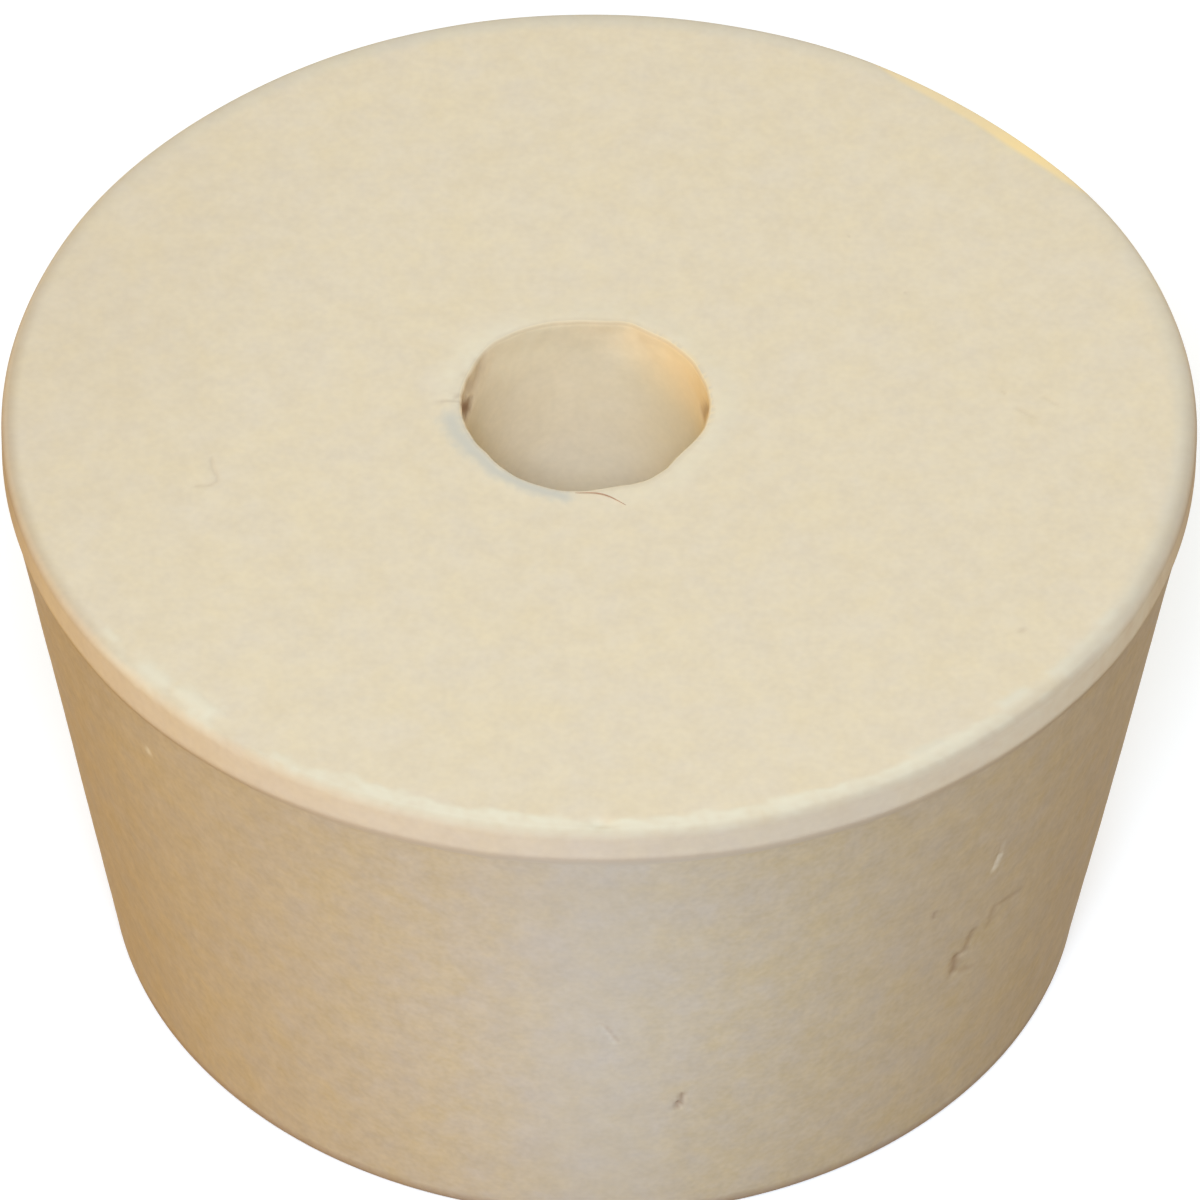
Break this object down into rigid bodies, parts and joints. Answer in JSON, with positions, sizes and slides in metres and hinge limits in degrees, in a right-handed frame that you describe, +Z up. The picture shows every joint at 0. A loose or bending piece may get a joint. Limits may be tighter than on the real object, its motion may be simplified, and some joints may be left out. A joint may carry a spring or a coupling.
{
  "type": "rubber stopper",
  "caption": "Tapered round rubber stopper that seals a flask or jar neck, with a straight band round its large end and a through hole for a glass tube or airlock stem.",
  "frame": {"origin": "centre of the small end, which the stopper stands on", "axes": "+Z up the stopper's axis from the small end to the large end; -Y is the front, +X the right"},
  "size_m": [0.046, 0.046, 0.025],
  "materials": {
    "rubber": "matt, powdery cream faces and band, finely grained tan moulded wall"
  },
  "bodies": {
    "root": {"stopper": "rubber"}
  },
  "joints": []
}
